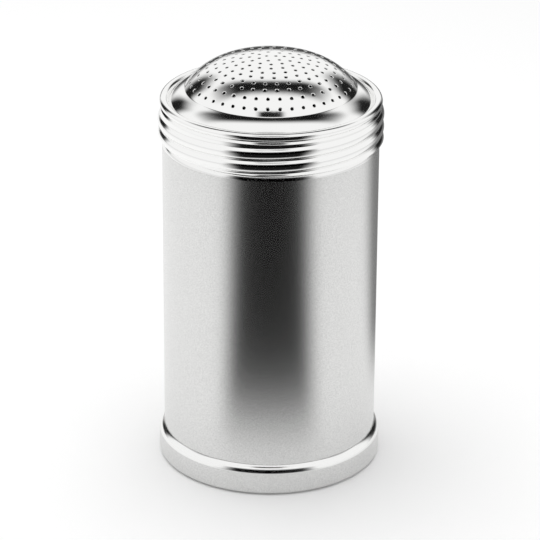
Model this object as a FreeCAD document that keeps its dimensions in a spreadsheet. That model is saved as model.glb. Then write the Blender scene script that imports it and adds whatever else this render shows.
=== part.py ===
import FreeCAD, Part
import math
import os
import Sketcher

# Spice shaker dispenser: a drawn metal can on a pressed base cup, closed by a
# perforated dome lid that screws onto the can's rolled neck thread.
# Millimetres, +Z up. The origin is the centre of the face that it stands on.

# Driving sizes
# Each row is a word, its value in millimetres or as a count, and its meaning.

SIZES = [
    ("can_radius", 33.4, "outside of the can's straight wall"),
    ("can_sheet", 0.6, "thickness of the can's sheet"),
    ("wall_top", 104.1, "height at which the straight wall starts to turn in"),
    ("shoulder_curve", 3.4, "radius of the turn from the wall to the neck"),
    ("neck_step", 0.6, "how far the neck lies inside the wall"),
    ("neck_height", 12.56, "height of the can's mouth above the straight wall"),
    ("curl_radius", 0.6, "radius of the curled mouth's section"),
    ("foot_sheet", 0.6, "thickness of the base cup's sheet"),
    ("foot_step", 1.6, "how far the foot stands out, and the radius under it"),
    ("foot_band_top", 7.0, "top of the base cup's upright band"),
    ("foot_shoulder", 3.4, "radius of the base cup's turned-in shoulder"),
    ("foot_fit", 0.05, "gap between the base cup's lip and the can"),
    ("stand_width", 2.0, "width of the flat ring that the shaker stands on"),
    ("floor_ramp", 3.0, "width of the slope round the raised floor"),
    ("floor_rise", 1.6, "height of the floor above the standing ring"),
    ("thread_pitch", 4.0, "rise of the thread in one turn"),
    ("thread_height", 0.85, "how far the lid's thread stands out from its skirt"),
    ("thread_land", 0.4, "flat left between two turns of the lid's thread"),
    ("thread_gap", 0.3, "gap between the lid's thread and the can's"),
    ("thread_drop", 2.36, "depth of the can's upper thread end below the mouth"),
    ("neck_turns", 1.5, "turns of thread on the can's neck"),
    ("lid_turns", 2.75, "turns of the lid's thread, with those cut off under its edge"),
    ("lid_turns_lower", 1.0, "turns by which the lid's thread starts below the can's"),
    ("lid_sheet", 0.5, "thickness of the lid's sheet"),
    ("skirt_fit", 0.55, "gap between the neck and the lid's skirt"),
    ("skirt_clearance", 0.57, "gap between the skirt's edge and the can's shoulder"),
    ("skirt_drop", 2.0, "depth of the skirt's top below the middle of the rim"),
    ("ring_inset", 0.5, "how far the sealing ring's outside lies inside the neck's"),
    ("ring_width", 2.0, "width of the sealing ring's band"),
    ("ring_thickness", 0.6, "thickness of the sealing ring"),
    ("seat_gap", 0.25, "gap over and under the sealing ring"),
    ("rim_inset", 1.05, "how far the middle of the rim's bead lies inside the skirt"),
    ("rim_bead", 1.35, "radius of the bead's section"),
    ("rim_undercut", 0.45, "how far the bead's lower end lies outside its middle"),
    ("slope_curve", 12.0, "radius of curvature of the band between dome and rim"),
    ("slope_reach", 10.96, "how far inside the bead that curvature is centred"),
    ("dome_margin", 6.4, "distance from the dome's foot to the middle of the bead"),
    ("dome_side_curve", 21.6, "radius of curvature of the dome's steep side"),
    ("dome_side_reach", 17.4, "how far inside the dome's foot that curvature is centred"),
    ("dome_cap_curve", 54.2, "radius of curvature of the dome's flat middle"),
    ("hole_diameter", 1.0, "diameter of a shaker hole"),
    ("hole_spacing", 3.6, "distance between neighbours in a circle of holes"),
    ("hole_margin", 1.6, "distance from the outermost circle of holes to the dome's foot"),
    ("circle_step", 2.6, "distance from one circle of holes to the next"),
]

doc = FreeCAD.newDocument("spice_shaker")
sheet = doc.addObject("Spreadsheet::Sheet", "Sizes")
for row, (word, value, meaning) in enumerate(SIZES, start=1):
    sheet.set(f"A{row}", meaning)
    sheet.set(f"B{row}", str(value))
    sheet.setAlias(f"B{row}", word)
doc.recompute()


# Sizes that carry their own formula


class Size:
    """A number together with the sheet formula that gives it."""

    def __init__(self, value, formula):
        self.value = value
        self.formula = formula

    def join(self, sign, other, value):
        return Size(value, f"({self.formula} {sign} {other.formula})")

    def __add__(self, other):
        other = as_size(other)
        return self.join("+", other, self.value + other.value)

    def __sub__(self, other):
        other = as_size(other)
        return self.join("-", other, self.value - other.value)

    def __mul__(self, other):
        other = as_size(other)
        return self.join("*", other, self.value * other.value)

    def __truediv__(self, other):
        other = as_size(other)
        return self.join("/", other, self.value / other.value)


def as_size(number):
    return number if isinstance(number, Size) else Size(float(number), repr(float(number)))


def size(word):
    return Size(float(sheet.get(word)), f"{sheet.Name}.{word}")


def side(slant, other):
    """Third side of a right triangle, from its slanted side and one other."""
    square = slant * slant - other * other
    return Size(math.sqrt(square.value), f"sqrt({square.formula})")


def span(across, up):
    """Slanted side of a right triangle."""
    square = across * across + up * up
    return Size(math.sqrt(square.value), f"sqrt({square.formula})")


ZERO = as_size(0)


# Sketches and features


def add_sketch(body, name, role="XZ_Plane"):
    plane = next(f for f in body.Origin.OriginFeatures if f.Role == role)
    sketch = body.newObject("Sketcher::SketchObject", name)
    sketch.AttachmentSupport = (plane, [""])
    sketch.MapMode = "FlatFace"
    return sketch


def bind(sketch, constraint, formula):
    index = sketch.addConstraint(constraint)
    sketch.setExpression(f"Constraints[{index}]", formula)


def draw_outline(sketch, corners):
    """Closed outline. A corner is (across, up, bend): the line that leaves it is
    straight where bend is None, and otherwise an arc, where bend is its radius and
    the way that it turns, "left" or "right"."""
    count = len(corners)
    for index, (across, up, bend) in enumerate(corners):
        end_across, end_up, _ = corners[(index + 1) % count]
        start = FreeCAD.Vector(across.value, up.value, 0)
        end = FreeCAD.Vector(end_across.value, end_up.value, 0)
        if bend is None:
            sketch.addGeometry(Part.LineSegment(start, end), False)
        else:
            sketch.addGeometry(bend_arc(start, end, bend), False)
    for index, (across, up, bend) in enumerate(corners):
        follower = (index + 1) % count
        sketch.addConstraint(
            Sketcher.Constraint("Coincident", index, leaving_end(corners, index),
                                follower, entering_end(corners, follower)))
    for index, (across, up, bend) in enumerate(corners):
        end = entering_end(corners, index)
        if across.value == 0:
            sketch.addConstraint(Sketcher.Constraint("PointOnObject", index, end, -2))
        else:
            bind(sketch, Sketcher.Constraint("DistanceX", -1, 1, index, end, across.value),
                 across.formula)
        bind(sketch, Sketcher.Constraint("DistanceY", -1, 1, index, end, up.value), up.formula)
        if bend is not None:
            bind(sketch, Sketcher.Constraint("Radius", index, bend[0].value), bend[0].formula)


def bend_arc(start, end, bend):
    radius, turn = bend
    chord = end - start
    middle = (start + end) * 0.5
    reach = math.sqrt(radius.value ** 2 - (chord.Length / 2) ** 2)
    normal = FreeCAD.Vector(-chord.y, chord.x, 0).normalize()
    centre = middle + normal * (reach if turn == "left" else -reach)
    circle = Part.Circle(centre, FreeCAD.Vector(0, 0, 1), radius.value)
    first, last = (start, end) if turn == "left" else (end, start)
    return Part.ArcOfCircle(circle, circle.parameter(first), circle.parameter(last))


def entering_end(corners, index):
    bend = corners[index][2]
    return 2 if bend is not None and bend[1] == "right" else 1


def leaving_end(corners, index):
    return 3 - entering_end(corners, index)


def revolve(body, name, corners):
    sketch = add_sketch(body, name + "_outline")
    draw_outline(sketch, corners)
    feature = body.newObject("PartDesign::Revolution", name)
    feature.Profile = sketch
    feature.ReferenceAxis = (sketch, ["V_Axis"])
    feature.Angle = 360
    return feature


def hollow(body, name, corners):
    sketch = add_sketch(body, name + "_outline")
    draw_outline(sketch, corners)
    feature = body.newObject("PartDesign::Groove", name)
    feature.Profile = sketch
    feature.ReferenceAxis = (sketch, ["V_Axis"])
    feature.Angle = 360
    return feature


def wind(body, kind, name, level, curve, turns, back=None):
    """Carries a round section round the body's axis, as a right-hand helix that
    starts on the -X side. Only what lies outside the radius back is kept of a
    section that is taller than the pitch, so that its turns don't run together."""
    sketch = add_sketch(body, name + "_section")
    if back is None:
        middle = FreeCAD.Vector(-thread_centre.value, level.value, 0)
        up = FreeCAD.Vector(0, 0, 1)
        sketch.addGeometry(Part.Circle(middle, up, curve.value), False)
        bind(sketch, Sketcher.Constraint("DistanceX", 0, 3, -1, 1, thread_centre.value),
             thread_centre.formula)
        bind(sketch, Sketcher.Constraint("DistanceY", -1, 1, 0, 3, level.value),
             level.formula)
        bind(sketch, Sketcher.Constraint("Radius", 0, curve.value), curve.formula)
    else:
        reach = side(curve, back - thread_centre)
        draw_outline(sketch, [
            (ZERO - back, level + reach, (curve, "left")),
            (ZERO - thread_centre - curve, level, (curve, "left")),
            (ZERO - back, level - reach, None),
        ])
    feature = body.newObject(f"PartDesign::{kind}Helix", name)
    feature.Profile = sketch
    feature.ReferenceAxis = (sketch, ["V_Axis"])
    feature.Mode = "pitch-turns-angle"
    feature.LeftHanded = False
    feature.setExpression("Pitch", size("thread_pitch").formula)
    feature.setExpression("Turns", turns.formula)
    return feature


def round_end(body, kind, name, level, curve, turns):
    """Ball that closes the thread where it has turned this far from the -X side."""
    ball = body.newObject(f"PartDesign::{kind}Sphere", name)
    ball.setExpression("Radius", curve.formula)
    centre = thread_centre.formula
    angle = f"360deg * {turns.formula}"
    ball.setExpression("Placement.Base.x", f"-{centre} * cos({angle})")
    ball.setExpression("Placement.Base.y", f"-{centre} * sin({angle})")
    ball.setExpression("Placement.Base.z", level.formula)
    return ball


def add_body(label):
    body = doc.addObject("PartDesign::Body", label)
    body.Label = label
    return body


# Heights and radii that several pieces share

neck = size("can_radius") - size("neck_step")
neck_inside = neck - size("can_sheet")
neck_foot = size("wall_top") + side(
    size("shoulder_curve"), size("shoulder_curve") - size("neck_step"))
mouth = size("wall_top") + size("neck_height")
ring_bottom = mouth + size("seat_gap")
ring_top = ring_bottom + size("ring_thickness")
rim_level = ring_top + size("seat_gap") + size("lid_sheet")
skirt_inside = neck + size("skirt_fit")
skirt = skirt_inside + size("lid_sheet")

# The lid's thread is part of a circle, as wide as the pitch less the land and as
# high as it stands out. The can's thread has the same centre, one gap further in.
half_width = (size("thread_pitch") - size("thread_land")) / 2
lid_ridge = (half_width * half_width / size("thread_height") + size("thread_height")) / 2
lid_groove = lid_ridge - size("lid_sheet")
can_ridge = lid_groove - size("thread_gap")
can_groove = can_ridge - size("can_sheet")
thread_centre = skirt + size("thread_height") - lid_ridge
can_thread_top = mouth - size("thread_drop")
can_thread_start = can_thread_top - size("thread_pitch") * size("neck_turns")
lid_thread_start = can_thread_start - size("thread_pitch") * size("lid_turns_lower")


# The base cup, pressed from one sheet

def make_base_cup():
    body = add_body("base_cup")
    gauge = size("foot_sheet")
    corner = size("foot_step")
    corner_centre = size("can_radius")
    outside = corner_centre + corner
    inside = outside - gauge
    ramp_foot = corner_centre - size("stand_width")
    flat = ramp_foot - size("floor_ramp")
    floor = size("floor_rise")
    shoulder = size("foot_shoulder")
    shoulder_inner = shoulder - gauge
    band_top = size("foot_band_top")
    lip = size("can_radius") + size("foot_fit")
    lip_reach = lip - outside + shoulder
    revolve(body, "cup", [
        (ZERO, floor, None),
        (flat, floor, None),
        (ramp_foot, ZERO, None),
        (corner_centre, ZERO, (corner, "left")),
        (outside, corner, None),
        (outside, band_top, (shoulder, "left")),
        (lip, band_top + side(shoulder, lip_reach), None),
        (lip, band_top + side(shoulder_inner, lip_reach), (shoulder_inner, "right")),
        (inside, band_top, None),
        (inside, corner, (corner - gauge, "right")),
        (corner_centre, gauge, None),
        (ramp_foot, gauge, None),
        (flat, floor + gauge, None),
        (ZERO, floor + gauge, None),
    ])
    return body


# The can's wall, with its shoulder, threaded neck and curled mouth
# It is drawn as a solid blank with a thread on it, and then hollowed.

def make_can_wall():
    body = add_body("can_wall")
    gauge = size("can_sheet")
    outside = size("can_radius")
    inside = outside - gauge
    foot = size("foot_sheet")
    turn = size("shoulder_curve")
    turn_inner = turn - gauge
    turn_reach = turn_inner - size("neck_step")
    wall_top = size("wall_top")
    curl = size("curl_radius")
    curl_middle = neck - curl
    curl_level = mouth - curl
    turns = size("neck_turns")
    revolve(body, "blank", [
        (ZERO, foot, None),
        (outside, foot, None),
        (outside, wall_top, (turn, "left")),
        (neck, neck_foot, None),
        (neck, curl_level, (curl, "left")),
        (curl_middle, mouth, None),
        (ZERO, mouth, None),
    ])
    wind(body, "Additive", "ridge", can_thread_start, can_ridge, turns)
    round_end(body, "Additive", "ridge_foot", can_thread_start, can_ridge, ZERO)
    round_end(body, "Additive", "ridge_end", can_thread_top, can_ridge, turns)
    hollow(body, "bore", [
        (ZERO, foot, None),
        (inside, foot, None),
        (inside, wall_top, (turn_inner, "left")),
        (neck_inside, wall_top + side(turn_inner, turn_reach), None),
        (neck_inside, curl_level - side(curl, neck_inside - curl_middle), (curl, "right")),
        (curl_middle - curl, curl_level, (curl, "right")),
        (curl_middle, mouth, None),
        (ZERO, mouth, None),
    ])
    wind(body, "Subtractive", "groove", can_thread_start, can_groove, turns)
    round_end(body, "Subtractive", "groove_foot", can_thread_start, can_groove, ZERO)
    round_end(body, "Subtractive", "groove_end", can_thread_top, can_groove, turns)
    return body


# The sealing ring between the can's mouth and the lid

def make_sealing_ring():
    body = add_body("sealing_ring")
    outer = neck - size("ring_inset")
    inner = outer - size("ring_width")
    revolve(body, "ring", [
        (inner, ring_bottom, None),
        (outer, ring_bottom, None),
        (outer, ring_top, None),
        (inner, ring_top, None),
    ])
    return body


# The lid, pressed from one sheet: perforated dome, sloping band, rim and skirt
# It is drawn as a solid blank with a thread on it, then hollowed and pierced.

def make_lid():
    body = add_body("perforated_lid")
    gauge = size("lid_sheet")

    # Outside, from the axis outwards
    bead = size("rim_bead")
    rim = skirt - size("rim_inset")
    crease = rim - bead
    slope = size("slope_curve")
    slope_across = rim - size("slope_reach")
    foot_across = rim - size("dome_margin")
    flank = size("dome_side_curve")
    flank_across = foot_across - size("dome_side_reach")
    cap = size("dome_cap_curve")
    join_across = flank_across / (as_size(1) - flank / cap)
    slope_level = rim_level - side(slope, crease - slope_across)
    foot_level = slope_level + side(slope, foot_across - slope_across)
    flank_level = foot_level - side(flank, foot_across - flank_across)
    join_level = flank_level + side(flank, join_across - flank_across)
    cap_level = join_level - side(cap, join_across)
    top = cap_level + cap
    under_across = rim + size("rim_undercut")
    under_level = rim_level - side(bead, size("rim_undercut"))
    skirt_top = rim_level - size("skirt_drop")
    skirt_edge = neck_foot + size("skirt_clearance")
    below = lid_thread_start - lid_ridge - size("thread_pitch")
    revolve(body, "blank", [
        (ZERO, top, (cap, "right")),
        (join_across, join_level, (flank, "right")),
        (foot_across, foot_level, (slope, "right")),
        (crease, rim_level, (bead, "right")),
        (rim, rim_level + bead, (bead, "right")),
        (under_across, under_level, None),
        (skirt, skirt_top, None),
        (skirt, below, None),
        (ZERO, below, None),
    ])
    turns = size("lid_turns")
    end_level = lid_thread_start + size("thread_pitch") * turns
    wind(body, "Additive", "ridge", lid_thread_start, lid_ridge, turns,
         back=skirt - gauge / 2)
    round_end(body, "Additive", "ridge_end", end_level, lid_ridge, turns)

    # Inside, one sheet away, with everything below the skirt's edge
    def inward(across, level, middle_across, middle_level, curve):
        """The point one sheet nearer the middle of the curve that it lies on."""
        share = as_size(1) - gauge / curve
        return (middle_across + (across - middle_across) * share,
                middle_level + (level - middle_level) * share)

    join_in = inward(join_across, join_level, ZERO, cap_level, cap)
    foot_in = inward(foot_across, foot_level, flank_across, flank_level, flank)
    foot_out = inward(foot_across, foot_level, slope_across, slope_level, slope)
    crease_in = inward(crease, rim_level, slope_across, slope_level, slope)
    under_in = inward(under_across, under_level, rim, rim_level, bead)
    fall_across = skirt - under_across
    fall = under_level - skirt_top
    fall_length = span(fall_across, fall)
    under_out = (under_across - gauge * fall / fall_length,
                 under_level - gauge * fall_across / fall_length)
    skirt_in_top = skirt_top - gauge * (fall_length - fall) / fall_across
    clear = skirt + size("thread_height") + bead
    hollow(body, "inside", [
        (ZERO, top - gauge, (cap - gauge, "right")),
        (*join_in, (flank - gauge, "right")),
        (*foot_in, (gauge, "left")),
        (*foot_out, (slope - gauge, "right")),
        (*crease_in, (gauge, "left")),
        (crease + gauge, rim_level, (bead - gauge, "right")),
        (rim, rim_level + bead - gauge, (bead - gauge, "right")),
        (*under_in, (gauge, "left")),
        (*under_out, None),
        (skirt_inside, skirt_in_top, None),
        (skirt_inside, skirt_edge, None),
        (clear, skirt_edge, None),
        (clear, below, None),
        (ZERO, below, None),
    ])
    wind(body, "Subtractive", "groove", lid_thread_start, lid_groove, turns)
    round_end(body, "Subtractive", "groove_end", end_level, lid_groove, turns)

    # Shaker holes, each circle of them square to the dome, cut in one go
    drills = add_body("shaker_holes")
    drills.AllowCompound = True
    across = foot_across - size("hole_margin")
    while across.value >= size("circle_step").value / 2:
        on_cap = across.value <= join_across.value
        middle_across = ZERO if on_cap else flank_across
        middle_level = cap_level if on_cap else flank_level
        curve = cap if on_cap else flank
        level = middle_level + side(curve, across - middle_across)
        out_across = (across - middle_across) / curve
        out_level = (level - middle_level) / curve
        add_drills(drills, across, level, out_across, out_level)
        across = across - size("circle_step")
    pierced = body.newObject("PartDesign::Boolean", "pierced")
    pierced.Type = "Cut"
    pierced.setObjects([drills])
    body.Tip = pierced
    return body


def add_drills(drills, across, level, out_across, out_level):
    """One circle of pins on the dome's surface, each along the outward direction."""
    circle = f"{across.value:.1f}".replace(".", "_")
    drill = size("hole_diameter") / 2
    reach = size("lid_sheet") * 2
    low_across = across - out_across * reach
    low_level = level - out_level * reach
    high_across = across + out_across * reach
    high_level = level + out_level * reach
    sketch = add_sketch(drills, f"pin_{circle}_outline")
    draw_outline(sketch, [
        (low_across, low_level, None),
        (low_across + out_level * drill, low_level - out_across * drill, None),
        (high_across + out_level * drill, high_level - out_across * drill, None),
        (high_across, high_level, None),
    ])
    pin = drills.newObject("PartDesign::Revolution", f"pin_{circle}")
    pin.Profile = sketch
    pin.ReferenceAxis = (sketch, ["Edge4"])
    pin.Angle = 360
    pins = drills.newObject("PartDesign::PolarPattern", f"pins_{circle}")
    pins.Originals = [pin]
    pins.Axis = (sketch, ["V_Axis"])
    pins.Angle = 360
    pins.setExpression(
        "Occurrences", f"round(2 * pi * {across.formula} / {size('hole_spacing').formula})")
    drills.Tip = pins


pieces = [make_base_cup(), make_can_wall(), make_sealing_ring(), make_lid()]
doc.recompute()


# Checks, and one STEP file for each piece

os.makedirs("parts", exist_ok=True)
for item in doc.Objects:
    if "Invalid" in item.State or "Error" in item.State:
        raise RuntimeError(f"{item.Label} failed to build: {item.State}")
for piece in pieces:
    shape = piece.Shape
    if shape.isNull() or not shape.isValid() or len(shape.Solids) != 1:
        raise RuntimeError(f"{piece.Label} isn't one valid solid")
    shape.exportStep(f"parts/{piece.Label}.step")
    print(f"{piece.Label}: {shape.Volume:.0f} cubic millimetres")
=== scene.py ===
# %% [markdown]
# # A spice shaker in polished and satin steel
#
# The shaker is a round steel can that stands on a pressed foot. A lid with a
# perforated dome screws onto its neck. Everything on it is thin sheet metal that
# was spun, pressed or rolled, so nearly every shape is a section turned round one
# axis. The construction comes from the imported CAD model, which is loaded first. It
# fixes every size and the bodies that move, and the looks are built around it.

import bmesh
import bpy
import numpy as np
from mathutils import Euler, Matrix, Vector


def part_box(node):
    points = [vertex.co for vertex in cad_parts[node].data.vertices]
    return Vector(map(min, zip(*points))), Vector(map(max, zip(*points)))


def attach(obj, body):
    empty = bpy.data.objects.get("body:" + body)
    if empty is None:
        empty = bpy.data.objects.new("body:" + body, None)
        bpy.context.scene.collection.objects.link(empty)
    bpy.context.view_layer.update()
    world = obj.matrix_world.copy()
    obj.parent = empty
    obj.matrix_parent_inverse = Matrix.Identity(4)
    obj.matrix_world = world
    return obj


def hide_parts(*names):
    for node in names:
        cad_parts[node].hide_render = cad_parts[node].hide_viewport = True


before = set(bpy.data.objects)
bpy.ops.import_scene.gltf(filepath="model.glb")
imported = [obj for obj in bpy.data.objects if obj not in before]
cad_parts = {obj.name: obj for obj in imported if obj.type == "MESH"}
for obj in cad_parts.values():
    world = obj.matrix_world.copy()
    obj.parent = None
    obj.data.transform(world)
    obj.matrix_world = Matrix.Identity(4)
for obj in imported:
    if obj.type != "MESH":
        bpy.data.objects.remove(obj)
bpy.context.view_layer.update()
MM = 0.001

# %% [markdown]
# ## Sections
#
# A maker draws a turned or pressed part as a half section: radius across, height
# up. Here a section is an array of such points, joined from arcs and straight
# lines. Sheet metal never folds to a sharp line, so each section is softened by
# averaging it over a short length, and then thinned so that points stay close
# together only where it bends. Sizes in this file are in millimetres.

# %% Tools for sections
def arc(middle, curve, start, end):
    """Points on a circle: its middle plus its radius times (cosine, sine) of angles
    that run evenly from start to end, in degrees."""
    angle = np.radians(np.linspace(start, end, 241))
    return np.array(middle) + curve * np.column_stack([np.cos(angle), np.sin(angle)])


def lengths_along(points):
    """Distance from the first point to each point, measured along the outline."""
    steps = np.linalg.norm(np.diff(points, axis=0), axis=1)
    return np.concatenate([[0.0], np.cumsum(steps)])


def at_lengths(points, wanted):
    """Each coordinate read off at the wanted distances along the outline."""
    along = lengths_along(points)
    return np.column_stack([np.interp(wanted, along, column) for column in points.T])


def soften(points, fold=0.25, step=0.02):
    """Rounds every corner: the outline is read off every step, and each point is
    replaced by the mean of the points within one fold, weighted by a raised cosine.
    Its two ends are carried on by their mirror image, so that they stay in place."""
    along = lengths_along(points)[-1]
    even = at_lengths(points, np.linspace(0, along, int(along / step) + 1))
    half = int(fold / step)
    weights = 1 + np.cos(np.linspace(-np.pi, np.pi, 2 * half + 1))
    before = 2 * even[0] - even[half:0:-1]
    after = 2 * even[-1] - even[-2:-half - 2:-1]
    padded = np.vstack([before, even, after])
    kept = [np.convolve(column, weights / weights.sum(), "valid") for column in padded.T]
    return np.column_stack(kept)


def thin_out(points, turn=5.0, longest=2.0):
    """Keeps a point wherever the outline has turned by this many degrees or run
    this many millimetres since the last one. longest may differ from point to
    point: each step then counts as its length over the value there."""
    along = lengths_along(points)
    heading = np.unwrap(np.arctan2(*np.gradient(points, axis=0).T[::-1]))
    bend = np.abs(np.gradient(heading)) / np.radians(turn)
    measure = np.cumsum(bend + np.gradient(along) / longest)
    count = int(np.ceil(measure[-1] - measure[0])) + 1
    wanted = np.interp(np.linspace(measure[0], measure[-1], count), measure, along)
    return at_lengths(points, wanted)


print("arc of 10 mm:", arc((0, 0), 10, 0, 90)[[0, -1]].round(2).tolist())

# %% [markdown]
# ## Turned surfaces
#
# Spinning a section with Blender's Screw modifier is the usual way. A grid worked
# out with numpy is used instead, because the thread has to bulge out of the same
# surface, and a grid lets each row and column move by a formula. Columns go round
# the axis, rows follow the section, and the last column joins the first.

# %% Tools for turned surfaces
COLUMNS = 288


def round_the_axis(section, columns=COLUMNS):
    """Grid of points (rows, columns, 3): radius times cosine and sine of the angle,
    and the height, for the section's rows and evenly spaced angles."""
    angle = np.arange(columns) * 2 * np.pi / columns
    radius, height = section[:, 0, None], section[:, 1, None]
    across = radius * np.cos(angle)
    deep = radius * np.sin(angle)
    return np.stack([across, deep, np.broadcast_to(height, across.shape)], axis=-1)


def grid_faces(rows, columns, first=0, closed=False):
    """Four-cornered faces between neighbouring rows and columns. The columns wrap
    round, and the rows do too when the section is closed."""
    row = np.arange(rows if closed else rows - 1)[:, None]
    column = np.arange(columns)[None, :]
    upper, beside = (row + 1) % rows, (column + 1) % columns
    corners = [row * columns + column, upper * columns + column,
               upper * columns + beside, row * columns + beside]
    return np.stack([np.broadcast_to(c, (len(row), columns)) for c in corners],
                    axis=-1).reshape(-1, 4) + first


def close_pole(ring, pole):
    """Three-cornered faces from a ring of points to one point on the axis."""
    return np.column_stack([ring, np.full(len(ring), pole), np.roll(ring, -1)])


def make_piece(name, points, faces, body, node):
    """Puts points in millimetres and blocks of faces into a mesh, merges points
    that meet, turns all faces outwards, says what the piece rides on and hides
    the CAD part that it stands for."""
    mesh = bpy.data.meshes.new(name)
    listed = [face for block in faces for face in block.tolist()]
    mesh.from_pydata((np.asarray(points) * MM).tolist(), [], listed)
    shell = bmesh.new()
    shell.from_mesh(mesh)
    bmesh.ops.remove_doubles(shell, verts=shell.verts, dist=1e-7)
    bmesh.ops.recalc_face_normals(shell, faces=shell.faces)
    loose = sum(not edge.is_manifold for edge in shell.edges)
    shell.to_mesh(mesh)
    shell.free()
    mesh.shade_smooth()
    piece = bpy.data.objects.new(name, mesh)
    bpy.context.scene.collection.objects.link(piece)
    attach(piece, body)
    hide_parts(node)
    triangles = sum(len(face.vertices) - 2 for face in mesh.polygons)
    print(f"{name}: {triangles} triangles, {loose} open edges")
    return piece


print("columns round the axis:", COLUMNS)

# %% [markdown]
# ## The base cup
#
# The foot is a shallow cup pressed from sheet, with an upright band, a shoulder
# that turns in to the can's wall, and a raised floor inside the narrow ring that it
# stands on. Its section runs from the axis along the outside to the lip, and back
# along the inside, one sheet further in.

# %% Base cup
CAN_RADIUS = 33.4
FOOT_SHEET = 0.6
FOOT_STEP = 1.6
FOOT_FIT = 0.05
BAND_TOP = 7.0
FOOT_SHOULDER = 3.4
STAND_WIDTH = 2.0
FLOOR_RAMP = 3.0
FLOOR_RISE = 1.6
stand_inner = CAN_RADIUS - STAND_WIDTH
floor_radius = stand_inner - FLOOR_RAMP
foot_radius = CAN_RADIUS + FOOT_STEP


def cup_side(inset):
    """Half of the cup's section, from the axis along the floor, round the lower
    corner and up to the lip, lying this far inside the outer face."""
    lip_reach = CAN_RADIUS + FOOT_FIT - foot_radius + FOOT_SHOULDER
    lip_angle = np.degrees(np.arccos(lip_reach / (FOOT_SHOULDER - inset)))
    return np.vstack([
        [[0, FLOOR_RISE + inset], [floor_radius, FLOOR_RISE + inset], [stand_inner, inset]],
        arc((CAN_RADIUS, FOOT_STEP), FOOT_STEP - inset, -90, 0),
        arc((foot_radius - FOOT_SHOULDER, BAND_TOP), FOOT_SHOULDER - inset, 0, lip_angle),
    ])


def turn_capped(section):
    """Points and faces of a section turned round the axis, whose two ends lie on
    the axis and are closed there."""
    grid = round_the_axis(section[1:-1])
    rows = len(grid)
    ends = [[0, 0, section[0, 1]], [0, 0, section[-1, 1]]]
    ring = np.arange(COLUMNS)
    faces = [grid_faces(rows, COLUMNS), close_pole(ring, rows * COLUMNS),
             close_pole(ring + (rows - 1) * COLUMNS, rows * COLUMNS + 1)]
    return np.vstack([grid.reshape(-1, 3), ends]), faces


cup_outline = soften(np.vstack([cup_side(0), cup_side(FOOT_SHEET)[::-1]]), fold=0.2)
cup_points, cup_faces = turn_capped(thin_out(cup_outline, turn=6.0, longest=4.0))
foot_cup = make_piece("foot_cup", cup_points, cup_faces, "can", "base_cup")

# %% [markdown]
# ## The rolled thread
#
# A thread like this isn't cut. The sheet is squeezed between two rollers, so the
# wall bulges outwards along a helix and keeps its thickness. One formula moves the
# grid's points outwards for the can and the lid, inside and outside alike. At its
# ends a rolled thread sinks back into the wall over a short stretch.

# %% The thread's formula
PITCH = 4.0
THREAD_HEIGHT = 0.85
THREAD_LAND = 0.4
THREAD_GAP = 0.3
THREAD_RUNOUT = 0.09
LID_SHEET = 0.5
CAN_SHEET = 0.6
NECK_STEP = 0.6
SKIRT_FIT = 0.55
NECK_RADIUS = CAN_RADIUS - NECK_STEP
SKIRT_RADIUS = NECK_RADIUS + SKIRT_FIT + LID_SHEET
thread_half = (PITCH - THREAD_LAND) / 2
lid_ridge = (thread_half ** 2 / THREAD_HEIGHT + THREAD_HEIGHT) / 2
can_ridge = lid_ridge - LID_SHEET - THREAD_GAP
thread_centre = SKIRT_RADIUS + THREAD_HEIGHT - lid_ridge


def bulge(grid, curve, start, turns, blend=0.2):
    """Pushes a wall out to a thread. At each point, the nearest turn's middle lies
    at the start level plus the pitch times the turns made so far, counted from the
    -X side. The thread's radius there is its centre plus the root of (curve squared
    less the height off that middle squared), times a fade near the thread's ends.
    The wall goes to the larger of the two radii, with a fillet of size blend."""
    radius = np.hypot(grid[..., 0], grid[..., 1])
    angle = np.arctan2(grid[..., 1], grid[..., 0])
    part = (angle / (2 * np.pi) + 0.5) % 1.0
    whole = np.round((grid[..., 2] - start) / PITCH - part)
    turned = part + whole
    off = grid[..., 2] - start - PITCH * turned
    ridge = thread_centre + np.sqrt(np.clip(curve ** 2 - off ** 2, 0, None))
    from_end = np.minimum(turned, turns - turned) / THREAD_RUNOUT
    fade = np.clip(from_end + 0.5, 0, 1)
    fade = fade * fade * (3 - 2 * fade)
    ridge = radius + (ridge - radius) * fade - blend * (1 - fade)
    apart = np.abs(radius - ridge)
    wall = np.maximum(radius, ridge) + np.clip(blend - apart, 0, None) ** 2 / (4 * blend)
    moved = grid.copy()
    moved[..., :2] *= (wall / radius)[..., None]
    return moved


print(f"thread section radius: lid {lid_ridge:.2f}, can {can_ridge:.2f}, "
      f"centred {thread_centre:.2f} from the axis")

# %% [markdown]
# ## The can's wall
#
# The tube stands in the base cup. At the top it turns in over a shoulder to the
# neck, whose thread shows only when the lid is off, and ends in a curled mouth that
# leaves no sharp edge. Its section is a closed loop, so its rows wrap round too.

# %% Can wall
WALL_TOP = 104.1
SHOULDER_CURVE = 3.4
CURL_RADIUS = 0.6
THREAD_DROP = 2.36
NECK_TURNS = 1.5
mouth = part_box("can_wall")[1].z / MM
curl_middle = (NECK_RADIUS - CURL_RADIUS, mouth - CURL_RADIUS)
can_thread_start = mouth - THREAD_DROP - PITCH * NECK_TURNS


def wall_side(inset):
    """The wall's section from the foot over the shoulder to the neck, this far in."""
    neck_reach = NECK_RADIUS - CAN_RADIUS + SHOULDER_CURVE
    neck_angle = np.degrees(np.arccos((neck_reach - inset) / (SHOULDER_CURVE - inset)))
    return np.vstack([
        [[CAN_RADIUS - inset, FOOT_SHEET]],
        arc((CAN_RADIUS - SHOULDER_CURVE, WALL_TOP), SHOULDER_CURVE - inset, 0, neck_angle),
    ])


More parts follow.
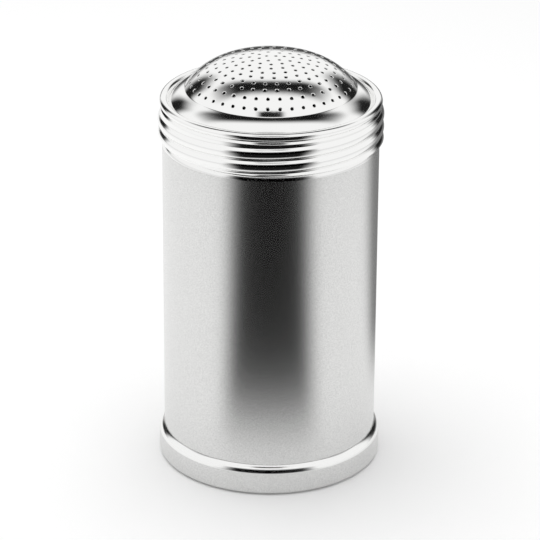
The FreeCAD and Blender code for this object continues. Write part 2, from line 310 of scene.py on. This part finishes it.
wall_outline = np.vstack([
    wall_side(0),
    arc(curl_middle, CURL_RADIUS, 0, 270),
    wall_side(CAN_SHEET)[::-1],
    [[CAN_RADIUS, FOOT_SHEET]],
])
wall_outline = soften(wall_outline, fold=0.2)
# The thread needs close rows on the neck; the straight wall below it doesn't.
NECK_ROWS = 0.25
WALL_ROWS = 8.0
on_neck = wall_outline[:, 1] > WALL_TOP + 1.5
longest = np.where(on_neck, NECK_ROWS, WALL_ROWS)
wall_section = thin_out(wall_outline, turn=6.0, longest=longest)
wall_grid = round_the_axis(wall_section[:-1])
NECK_REACH = 0.2
from_neck = wall_section[:-1, 0] - NECK_RADIUS
outer_rows = (np.abs(from_neck) < NECK_REACH)[:, None, None]
inner_rows = (np.abs(from_neck + CAN_SHEET) < NECK_REACH)[:, None, None]
threads_out = bulge(wall_grid, can_ridge, can_thread_start, NECK_TURNS)
threads_in = bulge(wall_grid, can_ridge - CAN_SHEET, can_thread_start, NECK_TURNS)
wall_grid = np.where(outer_rows, threads_out, np.where(inner_rows, threads_in, wall_grid))
wall_faces = [grid_faces(len(wall_grid), COLUMNS, closed=True)]
can_tube = make_piece("can_tube", wall_grid.reshape(-1, 3), wall_faces,
                      "can", "can_wall")
print(f"mouth at {mouth:.2f}, neck thread from {can_thread_start:.2f}")

# %% [markdown]
# ## The sealing ring
#
# A thin flat ring lies between the can's curled mouth and the lid. It is hidden
# while the lid is on. Its section is a small rectangle with rounded corners.

# %% Sealing ring
ring_low, ring_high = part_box("sealing_ring")
RING_WIDTH = 2.0
ring_outer = ring_high.x / MM
ring_inner = ring_outer - RING_WIDTH
ring_outline = np.array([[ring_inner, ring_low.z / MM], [ring_outer, ring_low.z / MM],
                         [ring_outer, ring_high.z / MM], [ring_inner, ring_high.z / MM],
                         [ring_inner, ring_low.z / MM]])
ring_section = thin_out(soften(ring_outline, fold=0.12), turn=15.0, longest=1.0)
ring_grid = round_the_axis(ring_section[:-1])
ring_faces = [grid_faces(len(ring_grid), COLUMNS, closed=True)]
seal_ring = make_piece("seal_ring", ring_grid.reshape(-1, 3), ring_faces,
                       "seal", "sealing_ring")

# %% [markdown]
# ## The lid's section
#
# The lid is one pressing. From the axis outwards its section has the dome's flat
# middle and steeper side, a crease, a sloping band, a second crease, the round bead
# of the rim, and the skirt. The inside is the same a sheet further in.

# %% Lid section
RIM_INSET = 1.05
RIM_BEAD = 1.35
RIM_UNDERCUT = 0.45
SKIRT_DROP = 2.0
SLOPE_CURVE = 12.0
SLOPE_REACH = 10.96
DOME_MARGIN = 6.4
SIDE_CURVE = 21.6
SIDE_REACH = 17.4
CAP_CURVE = 54.2
lid_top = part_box("perforated_lid")[1].z / MM
skirt_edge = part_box("perforated_lid")[0].z / MM
rim_radius = SKIRT_RADIUS - RIM_INSET
dome_radius = rim_radius - DOME_MARGIN
side_middle = dome_radius - SIDE_REACH
join_angle = np.degrees(np.arccos(side_middle / (CAP_CURVE - SIDE_CURVE)))
cap_centre = np.array([0, lid_top - CAP_CURVE])
side_centre = np.array([side_middle, cap_centre[1]
                        + np.sqrt((CAP_CURVE - SIDE_CURVE) ** 2 - side_middle ** 2)])
foot_angle = np.degrees(np.arccos(SIDE_REACH / SIDE_CURVE))
dome_foot = side_centre + SIDE_CURVE * np.array([SIDE_REACH / SIDE_CURVE,
                                                 np.sin(np.radians(foot_angle))])
slope_reach = dome_radius - rim_radius + SLOPE_REACH
slope_centre = dome_foot - [slope_reach, np.sqrt(SLOPE_CURVE ** 2 - slope_reach ** 2)]
slope_angles = np.degrees(np.arccos(np.array([slope_reach, SLOPE_REACH - RIM_BEAD])
                                    / SLOPE_CURVE))
rim_level = slope_centre[1] + SLOPE_CURVE * np.sin(np.radians(slope_angles[1]))
bead_end = -np.degrees(np.arccos(RIM_UNDERCUT / RIM_BEAD))


def lid_side(inset):
    """The lid's section from the axis to the skirt's edge, this far inside the
    outer face. Round its two creases and under the bead, the inside goes about
    the outer corner at one sheet's distance."""
    bead = arc((rim_radius, rim_level), RIM_BEAD - inset, 180, bead_end)
    fall = inset / SKIRT_DROP
    return np.vstack([
        arc(cap_centre, CAP_CURVE - inset, 90, join_angle),
        arc(side_centre, SIDE_CURVE - inset, join_angle, foot_angle),
        arc(slope_centre, SLOPE_CURVE - inset, *slope_angles),
        bead,
        [[SKIRT_RADIUS - inset, rim_level - SKIRT_DROP - fall]],
        [[SKIRT_RADIUS - inset, skirt_edge]],
    ])


lid_outline = np.vstack([lid_side(0), lid_side(LID_SHEET)[::-1]])
print(f"rim at {rim_level:.2f}, dome's foot at {dome_foot.round(2).tolist()}")

# %% [markdown]
# ## The perforated dome
#
# The holes are punched square to the sheet, in circles round the middle. Cutting
# them with a Boolean would leave ragged faces that spoil a mirror finish. Instead
# each hole gets its own cell of the dome, a square that is carried onto the curved
# sheet with the hole in its middle: lines run from the hole's rim to the square's
# edge, over a small rolled lip, down through the sheet and back under it. Between
# two circles of cells, a narrow band of triangles joins their edges.

# %% Cells of the dome
HOLE_RADIUS = 0.5
HOLE_SPACING = 3.6
HOLE_MARGIN = 1.6
CIRCLE_STEP = 2.6
LIP = 0.11
CELL_SIDE = 4
CELL_SHARE = 0.86
# Each ring of a cell: share of the way from rim to square, how far the rim there
# lies outside the hole, and depth below the outer face.
CELL_RINGS = np.array([(1, LIP, 0), (0.5, LIP, 0), (0.15, LIP, 0), (0, LIP, 0),
                       (0, LIP / 3, LIP / 3), (0, 0, LIP), (0, 0, LID_SHEET),
                       (0.5, 0, LID_SHEET), (1, 0, LID_SHEET)])

soft_lid = soften(lid_outline, fold=0.3)
lid_along = lengths_along(soft_lid)
slopes = np.gradient(soft_lid, axis=0)
slopes /= np.linalg.norm(slopes, axis=1)[:, None]


def dome_points(along, angle, depth):
    """Points under the dome's outer face: the section is read off at this length
    from the middle, moved inwards by the depth along its normal, and turned round
    the axis by the angle."""
    radius = np.interp(along, lid_along, soft_lid[:, 0])
    height = np.interp(along, lid_along, soft_lid[:, 1])
    across = np.interp(along, lid_along, slopes[:, 0])
    down = np.interp(along, lid_along, slopes[:, 1])
    radius = radius + depth * down
    height = height - depth * across
    return np.stack([radius * np.cos(angle), radius * np.sin(angle), height], axis=-1)


def square_edge():
    """Points round a square from -1 to 1, starting at its lower left corner and
    going anticlockwise, with CELL_SIDE steps on each side."""
    run = np.linspace(-1, 1, CELL_SIDE, endpoint=False)
    one = np.ones(CELL_SIDE)
    return (np.concatenate([run, one, -run, -one]),
            np.concatenate([-one, run, one, -run]))


def cell_circle(middle, count, inner, outer):
    """All cells of one circle, as points (cell, ring, corner, 3), and the angles of
    the corners. A point goes from the rim, middle plus radius times (sine, cosine),
    to the square's edge, by its ring's share of the way."""
    side_across, side_out = square_edge()
    corners = len(side_across)
    turn = np.radians(225) + np.arange(corners) * 2 * np.pi / corners
    share, grow, depth = CELL_RINGS.T[:, :, None]
    rim = HOLE_RADIUS + grow
    centre_radius = np.interp(middle, lid_along, soft_lid[:, 0])
    rim_along = middle + rim * np.sin(turn)
    rim_angle = rim * np.cos(turn) / centre_radius
    edge_along = middle + np.where(side_out < 0, middle - inner, outer - middle) * side_out
    edge_angle = side_across * np.pi / count
    along = rim_along + (edge_along - rim_along) * share
    angle = rim_angle + (edge_angle - rim_angle) * share
    starts = np.arange(count)[:, None, None] * 2 * np.pi / count
    angles = angle[None] + starts
    points = dome_points(np.broadcast_to(along, angles.shape), angles,
                         np.broadcast_to(depth, angles.shape))
    return points, angles


def zip_rings(first, first_angle, second, second_angle):
    """Triangles between two rings of points that lie side by side. Every edge of a
    ring is joined to the point that the other ring has reached by that angle."""
    first_angle, second_angle = first_angle % (2 * np.pi), second_angle % (2 * np.pi)
    order, other = np.argsort(first_angle), np.argsort(second_angle)
    first, first_angle = first[order], first_angle[order]
    second, second_angle = second[other], second_angle[other]
    reached = np.searchsorted(second_angle, first_angle, side="right") - 1
    passed = np.searchsorted(first_angle, second_angle, side="left") - 1
    return [np.column_stack([np.roll(first, 1), first, second[reached]]),
            np.column_stack([second, np.roll(second, 1), first[passed]])]


print("rings in a cell:", len(CELL_RINGS), "points in a ring:", 4 * CELL_SIDE)

# %% [markdown]
# ## The lid as one sheet
#
# The circles of cells, the turned part outside them and a small fan at the middle
# are numbered one after another and joined into one closed sheet.

# %% Lid
circle_radii = np.arange(dome_radius - HOLE_MARGIN, CIRCLE_STEP / 2, -CIRCLE_STEP)
# The radius only grows over this many points of the outline, from the axis on.
RISING = 1700
circles = np.interp(circle_radii, soft_lid[:RISING, 0], lid_along[:RISING])
counts = np.round(2 * np.pi * circle_radii / HOLE_SPACING).astype(int)
between = (circles[:-1] + circles[1:]) / 2
# The outermost and the innermost circle reach this share of the usual way past
# their holes.
OUTER_SHARE = 0.6
INNER_SHARE = 0.9
past = circles[0] + OUTER_SHARE * (circles[0] - between[0])
short = circles[-1] - INNER_SHARE * (between[-1] - circles[-1])
outer_limits = np.concatenate([[past], between])
inner_limits = np.concatenate([between, [short]])
rings = len(CELL_RINGS)
corners = 4 * CELL_SIDE
edge_in = np.arange(CELL_SIDE)
edge_out = 3 * CELL_SIDE - np.arange(CELL_SIDE)
lid_points, lid_faces, used = [], [], 0
edges = []
for middle, count, inner, outer in zip(circles, counts, inner_limits, outer_limits):
    low = middle - CELL_SHARE * (middle - inner)
    high = middle + CELL_SHARE * (outer - middle)
    points, angles = cell_circle(middle, count, low, high)
    numbers = used + np.arange(points[..., 0].size).reshape(points.shape[:3])
    block = grid_faces(rings, corners)
    lid_faces.append((block[None] + numbers[:, 0, 0][:, None, None]).reshape(-1, 4))
    edges.append([(numbers[:, ring][:, edge].ravel(), angles[:, ring][:, edge].ravel())
                  for ring in (0, rings - 1) for edge in (edge_in, edge_out)])
    lid_points.append(points.reshape(-1, 3))
    used += points[..., 0].size
for outside_circle, inside_circle in zip(edges[:-1], edges[1:]):
    lid_faces += zip_rings(*outside_circle[0], *inside_circle[1])
    lid_faces += zip_rings(*outside_circle[2], *inside_circle[3])

# The turned part starts a little outside the outermost cells and comes back on the
# inside to the point under its start. The outer half of the outline is ruled out
# there by adding a distance that is larger than the lid.
LID_TURNS = 2.75
CELL_GAP = 0.15
FAR_OFF = 99.0
SKIRT_ROWS = 0.32
OTHER_ROWS = 1.2
start = circles[0] + CELL_SHARE * (outer_limits[0] - circles[0]) + CELL_GAP
under = dome_points(np.array([start]), np.array([0.0]), LID_SHEET)[0]
back = np.argmin(np.hypot(soft_lid[:, 0] - under[0], soft_lid[:, 1] - under[2])
                 + FAR_OFF * (lid_along < lid_along[-1] / 2))
turned_part = soft_lid[(lid_along > start) & (lid_along < lid_along[back])]
on_skirt = turned_part[:, 1] < rim_level - SKIRT_DROP + 1
longest = np.where(on_skirt, SKIRT_ROWS, OTHER_ROWS)
lid_section = thin_out(turned_part, turn=9.0, longest=longest)
lid_grid = round_the_axis(lid_section)
lid_thread_start = can_thread_start - PITCH
threaded = (lid_section[:, 1] < rim_level) & (lid_section[:, 0] > rim_radius)
outer_rows = np.arange(len(lid_section)) <= np.argmin(lid_section[:, 1])
threads_out = bulge(lid_grid, lid_ridge, lid_thread_start, LID_TURNS)
threads_in = bulge(lid_grid, lid_ridge - LID_SHEET, lid_thread_start, LID_TURNS)
threads = np.where(outer_rows[:, None, None], threads_out, threads_in)
lid_grid = np.where(threaded[:, None, None], threads, lid_grid)
lid_faces.append(grid_faces(len(lid_grid), COLUMNS, first=used))
ring = np.arange(COLUMNS) + used
ring_angle = np.arange(COLUMNS) * 2 * np.pi / COLUMNS
lid_faces += zip_rings(ring, ring_angle, *edges[0][1])
lid_faces += zip_rings(ring + (len(lid_grid) - 1) * COLUMNS, ring_angle, *edges[0][3])
lid_points.append(lid_grid.reshape(-1, 3))
used += lid_grid[..., 0].size
lid_points.append([[0, 0, lid_top], [0, 0, lid_top - LID_SHEET]])
lid_faces += [close_pole(edges[-1][0][0], used), close_pole(edges[-1][2][0], used + 1)]
dome_lid = make_piece("dome_lid", np.vstack(lid_points), lid_faces,
                      "lid", "perforated_lid")
print("holes:", counts.sum(), "in circles of", counts.tolist())

# %% [markdown]
# ## Finishes
#
# All four pieces are bare stainless steel or silicone. What tells the steel parts
# apart is how they were finished: the lid and the shoulders are buffed to a mirror,
# the wall and the foot's band are blasted with fine beads, which leaves a dull grain.

# %% Tools for materials
def colour(code):
    """A hex code turned into linear red, green and blue, by the sRGB curve: over a
    small threshold, ((value + 0.055) / 1.055) to the power 2.4."""
    part = np.array([int(code[i:i + 2], 16) for i in (1, 3, 5)]) / 255
    linear = np.where(part > 0.04045, ((part + 0.055) / 1.055) ** 2.4, part / 12.92)
    return (*linear.tolist(), 1.0)


def add_node(tree, kind, settings=None, **sockets):
    """Adds a node, sets its properties, and fills its inputs by name: with another
    node's output where one is given, or else with a plain value."""
    node = tree.nodes.new(kind)
    for key, value in (settings or {}).items():
        setattr(node, key, value)
    for key, value in sockets.items():
        socket = node.inputs[key.replace("_", " ")]
        if isinstance(value, bpy.types.NodeSocket):
            tree.links.new(value, socket)
        else:
            socket.default_value = value
    return node


def new_material(name):
    """An empty node material and its tree."""
    material = bpy.data.materials.new(name)
    material.use_nodes = True
    material.node_tree.nodes.clear()
    return material, material.node_tree


def soft_step(tree, value, low, high):
    """A smooth rise from 0 at low to 1 at high; it falls where low is the larger."""
    flip = low > high
    ends = (high, low) if flip else (low, high)
    step = add_node(tree, "ShaderNodeMapRange", {"interpolation_type": "SMOOTHSTEP"},
                    Value=value, From_Min=ends[0], From_Max=ends[1],
                    To_Min=float(flip), To_Max=float(not flip))
    return step.outputs[0]


def maths(tree, operation, *values):
    """One Math node, fed with outputs or plain numbers."""
    node = add_node(tree, "ShaderNodeMath", {"operation": operation})
    for socket, value in zip(node.inputs, values):
        if isinstance(value, bpy.types.NodeSocket):
            tree.links.new(value, socket)
        else:
            socket.default_value = value
    return node.outputs[0]


print("mid grey, linear:", round(colour("#808080")[0], 3))

# %% Buffed stainless steel
def buffed_steel(name, code, roughness, smear):
    """Mirror-buffed stainless steel: a clear reflection, slightly clouded where the
    buffing wheel and fingers have left a film a few millimetres across."""
    material, tree = new_material(name)
    place = add_node(tree, "ShaderNodeTexCoord").outputs["Object"]
    cloud = add_node(tree, "ShaderNodeTexNoise", Vector=place, Scale=1 / (9 * MM),
                     Detail=3.0, Roughness=0.6).outputs[0]
    rough = add_node(tree, "ShaderNodeMapRange", Value=cloud, From_Min=0.3, From_Max=0.7,
                     To_Min=roughness - smear, To_Max=roughness + smear).outputs[0]
    shader = add_node(tree, "ShaderNodeBsdfPrincipled", Base_Color=colour(code),
                      Metallic=1.0, Roughness=rough)
    add_node(tree, "ShaderNodeOutputMaterial", Surface=shader.outputs[0])
    return material


# %% Bead-blasted stainless steel
def blasted_steel(name, code, roughness, grain):
    """Bead-blasted stainless steel: tiny dents scatter the light, so the reflection
    is blurred and the surface sparkles finely. The real grain is finer than a
    pixel, so it is drawn coarser, at about 0.45 mm."""
    material, tree = new_material(name)
    place = add_node(tree, "ShaderNodeTexCoord").outputs["Object"]
    dents = add_node(tree, "ShaderNodeTexNoise", Vector=place, Scale=1 / (0.45 * MM),
                     Detail=2.0, Roughness=0.7).outputs[0]
    tint = add_node(tree, "ShaderNodeMapRange", Value=dents, From_Min=0.3, From_Max=0.7,
                    To_Min=1 - grain, To_Max=1 + grain).outputs[0]
    base = add_node(tree, "ShaderNodeVectorMath", {"operation": "SCALE"},
                    Vector=colour(code)[:3], Scale=tint).outputs[0]
    bump = add_node(tree, "ShaderNodeBump", Height=dents, Strength=0.35,
                    Distance=0.02 * MM).outputs[0]
    shader = add_node(tree, "ShaderNodeBsdfPrincipled", Base_Color=base, Metallic=1.0,
                      Roughness=roughness, Normal=bump)
    add_node(tree, "ShaderNodeOutputMaterial", Surface=shader.outputs[0])
    return material


# %% Silicone
def moulded_silicone(name, code):
    """Moulded silicone rubber: a matt, slightly soft surface with a faint grain."""
    material, tree = new_material(name)
    place = add_node(tree, "ShaderNodeTexCoord").outputs["Object"]
    grain = add_node(tree, "ShaderNodeTexNoise", Vector=place, Scale=1 / (0.4 * MM),
                     Detail=2.0).outputs[0]
    bump = add_node(tree, "ShaderNodeBump", Height=grain, Strength=0.2,
                    Distance=0.02 * MM).outputs[0]
    shader = add_node(tree, "ShaderNodeBsdfPrincipled", Base_Color=colour(code),
                      Roughness=0.55, IOR=1.41, Normal=bump)
    add_node(tree, "ShaderNodeOutputMaterial", Surface=shader.outputs[0])
    return material


# %% [markdown]
# ## Where each finish goes
#
# The wall is blasted up to the turn at its top, and the foot up to the top of its
# band, while the shoulders above stay bright. The faces of each mesh are given one
# of two materials by the height of their middles.

# %% Give out the finishes
blasted_wall = blasted_steel("bead_blasted_stainless_steel", "#DCDCDB", 0.27, 0.12)
mirror_lid = buffed_steel("mirror_buffed_stainless_steel", "#F4F4F3", 0.1, 0.03)
bright_shoulder = buffed_steel("bright_buffed_stainless_steel", "#F2F2F1", 0.15, 0.03)
white_silicone = moulded_silicone("white_silicone_rubber", "#E6E5E0")


def finish_in_two(piece, lower, upper, level):
    """Gives a piece one finish up to this height in millimetres and another above,
    face by face, by the height of each face's middle."""
    middles = np.empty(len(piece.data.polygons) * 3)
    piece.data.polygons.foreach_get("center", middles)
    above = middles.reshape(-1, 3)[:, 2] / MM > level
    piece.data.materials.append(lower)
    piece.data.materials.append(upper)
    piece.data.polygons.foreach_set("material_index", above.astype(np.int32))
    print(f"{piece.name}: upper finish on {above.sum()} of {len(above)} faces")


finish_in_two(can_tube, blasted_wall, bright_shoulder, WALL_TOP + 0.2)
finish_in_two(foot_cup, blasted_wall, bright_shoulder, BAND_TOP + 0.3)
dome_lid.data.materials.append(mirror_lid)
seal_ring.data.materials.append(white_silicone)

# %% [markdown]
# ## The studio
#
# The shaker stands on a plain pale floor in soft light. Polished metal shows what
# stands round it, so the room matters more than the lamps. The room is white, and
# dark cards in it show in the metal alone, with edges that fade out, so nothing on
# the metal ends in a hard line. Floor and cards aren't part of the object.

# %% Floor
def flat_sheet(name, reach, material):
    """A level square sheet about the origin, reaching this far to each side, in
    metres."""
    mesh = bpy.data.meshes.new(name)
    mesh.from_pydata([(-reach, -reach, 0), (reach, -reach, 0), (reach, reach, 0),
                      (-reach, reach, 0)], [], [(0, 1, 2, 3)])
    mesh.materials.append(material)
    sheet = bpy.data.objects.new(name, mesh)
    bpy.context.scene.collection.objects.link(sheet)
    return sheet


FLOOR_REACH = 3.0
white_paper, tree = new_material("white_paper")
paper = add_node(tree, "ShaderNodeBsdfDiffuse", Color=colour("#FDFDFD"))
add_node(tree, "ShaderNodeOutputMaterial", Surface=paper.outputs[0])
floor = flat_sheet("floor", FLOOR_REACH, white_paper)
print("floor reaches", FLOOR_REACH, "m to each side")

# %% Tools for dark cards
def paint_over(tree, shade, cover):
    """An even shade that covers what lies behind by this share, from 0 to 1."""
    clear = add_node(tree, "ShaderNodeBsdfTransparent")
    paint = add_node(tree, "ShaderNodeEmission", Color=colour(shade), Strength=1.0)
    mix = add_node(tree, "ShaderNodeMixShader")
    for socket, output in zip(mix.inputs, (cover, clear.outputs[0], paint.outputs[0])):
        tree.links.new(output, socket)
    add_node(tree, "ShaderNodeOutputMaterial", Surface=mix.outputs[0])


def show_in_metal_alone(card):
    """Hides a sheet from the camera and from soft light, and keeps its shadow off."""
    card.visible_camera = False
    card.visible_diffuse = False
    card.visible_shadow = False


def make_card(name, place, size, facing, shade, edge):
    """A card at a place in metres, square to the facing direction. It fades out
    over the outer part of its width and height: over a share of edge of each
    half."""
    material, tree = new_material(name + "_paint")
    on_card = add_node(tree, "ShaderNodeTexCoord").outputs["Object"]
    from_middle = add_node(tree, "ShaderNodeVectorMath", {"operation": "ABSOLUTE"},
                           Vector=on_card).outputs[0]
    across, up = add_node(tree, "ShaderNodeSeparateXYZ", Vector=from_middle).outputs[:2]
    cover = maths(tree, "MULTIPLY", soft_step(tree, across, 1.0, 1 - edge),
                  soft_step(tree, up, 1.0, 1 - edge))
    paint_over(tree, shade, cover)
    card = flat_sheet(name, 1, material)
    card.location = place
    card.scale = (size[0] / 2, size[1] / 2, 1)
    card.rotation_euler = Vector(facing).to_track_quat("Z", "Y").to_euler()
    show_in_metal_alone(card)


print("tools for dark cards ready")

# %% [markdown]
# The sheet that the shaker stands on is lit, and the room's floor past it isn't. As
# the can's wall stands upright and is seen from above, it mirrors just that floor.
# The unlit part lies in two sectors round the shaker, one towards the camera and
# one behind it to the right, and starts some way off. Bearings are counted from
# the camera's side, anticlockwise as seen from above.

# %% Unlit floor
ROOM_REACH = 2.5
ROOM_LIFT = 0.0004
SHEET_END = (0.05, 0.12)
AHEAD_WIDTH = np.radians((52, 28))
BEHIND_BEARING = np.radians(155)
BEHIND_WIDTH = np.radians((48, 20))
BEHIND_SHARE = 0.8
room_material, tree = new_material("room_floor_dark_sectors")
where = add_node(tree, "ShaderNodeTexCoord").outputs["Object"]
x, y = add_node(tree, "ShaderNodeSeparateXYZ", Vector=where).outputs[:2]
away = add_node(tree, "ShaderNodeVectorMath", {"operation": "LENGTH"}, Vector=where)
past_sheet = soft_step(tree, away.outputs["Value"], *SHEET_END)
bearing = maths(tree, "ARCTAN2", x, maths(tree, "MULTIPLY", y, -1.0))
ahead = soft_step(tree, maths(tree, "ABSOLUTE", bearing), *AHEAD_WIDTH)
full_turn = maths(tree, "FLOORED_MODULO", bearing, 2 * np.pi)
off_behind = maths(tree, "ABSOLUTE", maths(tree, "SUBTRACT", full_turn, BEHIND_BEARING))
behind = maths(tree, "MULTIPLY", soft_step(tree, off_behind, *BEHIND_WIDTH), BEHIND_SHARE)
sectors = maths(tree, "MAXIMUM", ahead, behind)
paint_over(tree, "#181818", maths(tree, "MULTIPLY", sectors, past_sheet))
room_floor = flat_sheet("room_floor", ROOM_REACH, room_material)
room_floor.location.z = ROOM_LIFT
show_in_metal_alone(room_floor)
print("unlit floor from", SHEET_END, "m off")

# %% Dark cards in the room
make_card("dark_room", (0, -0.95, 0.2), (2.2, 1.1), (0, 1, 0), "#000000", 0.45)
make_card("dark_boom", (0, -0.62, 0.98), (0.62, 0.34), (0, 0.6, -0.85), "#101010", 0.5)
make_card("dark_ceiling", (0, 0.36, 1.1), (2.6, 0.8), (0, 0, -1), "#181818", 0.7)
make_card("dark_left", (-0.75, 0.85, 0.35), (0.7, 1.5), (0.75, -0.85, 0), "#202020", 0.7)
make_card("dark_right", (0.75, 0.85, 0.35), (0.9, 1.5), (-0.75, -0.85, 0), "#202020", 0.7)
make_card("dark_horizon", (0, 1.2, 0.08), (1.6, 0.5), (0, -1, 0), "#404040", 0.7)

# %% [markdown]
# ## Light and camera
#
# The world is white to the camera and in reflections, and lights the floor evenly.
# One broad lamp above gives the foot a faint soft shadow. The camera has a long
# lens and looks down by about 24 degrees, as the photographed view does.

# %% World, lamp and camera
world = bpy.data.worlds.new("studio")
bpy.context.scene.world = world
world.use_nodes = True
tree = world.node_tree
tree.nodes.clear()
path = add_node(tree, "ShaderNodeLightPath").outputs
seen = maths(tree, "MAXIMUM", path["Is Camera Ray"], path["Is Glossy Ray"])
seen = maths(tree, "MAXIMUM", seen, path["Is Transmission Ray"])
level = add_node(tree, "ShaderNodeMapRange", Value=seen, To_Min=0.75, To_Max=1.0)
sky = add_node(tree, "ShaderNodeBackground", Color=colour("#FFFFFF"),
               Strength=level.outputs[0])
add_node(tree, "ShaderNodeOutputWorld", Surface=sky.outputs[0])

lamp_data = bpy.data.lights.new("overhead_lamp", "AREA")
lamp_data.shape = "SQUARE"
lamp_data.size = 0.6
lamp_data.energy = 3.0
lamp = bpy.data.objects.new("overhead_lamp", lamp_data)
lamp.location = (-0.1, 0.1, 0.9)
lamp.visible_glossy = False
bpy.context.scene.collection.objects.link(lamp)

LOOKS_DOWN = 23.75
CAMERA_ROLL = 0.0057
camera_data = bpy.data.cameras.new("camera")
camera_data.sensor_width = 36.0
camera_data.lens = 197.7
camera_data.clip_end = 20.0
camera = bpy.data.objects.new("camera", camera_data)
camera.location = (0, -0.85, 0.4352)
lean = Euler((np.radians(90 - LOOKS_DOWN), 0, 0)).to_matrix()
roll = Euler((0, 0, CAMERA_ROLL)).to_matrix()
camera.rotation_euler = (lean @ roll).to_euler()
bpy.context.scene.collection.objects.link(camera)
bpy.context.scene.camera = camera
print("camera at", tuple(round(v, 3) for v in camera.location), "m")

# %% [markdown]
# ## View settings
#
# The Standard view shows a colour about as it is written.

# %% View transform
bpy.context.scene.view_settings.view_transform = "Standard"
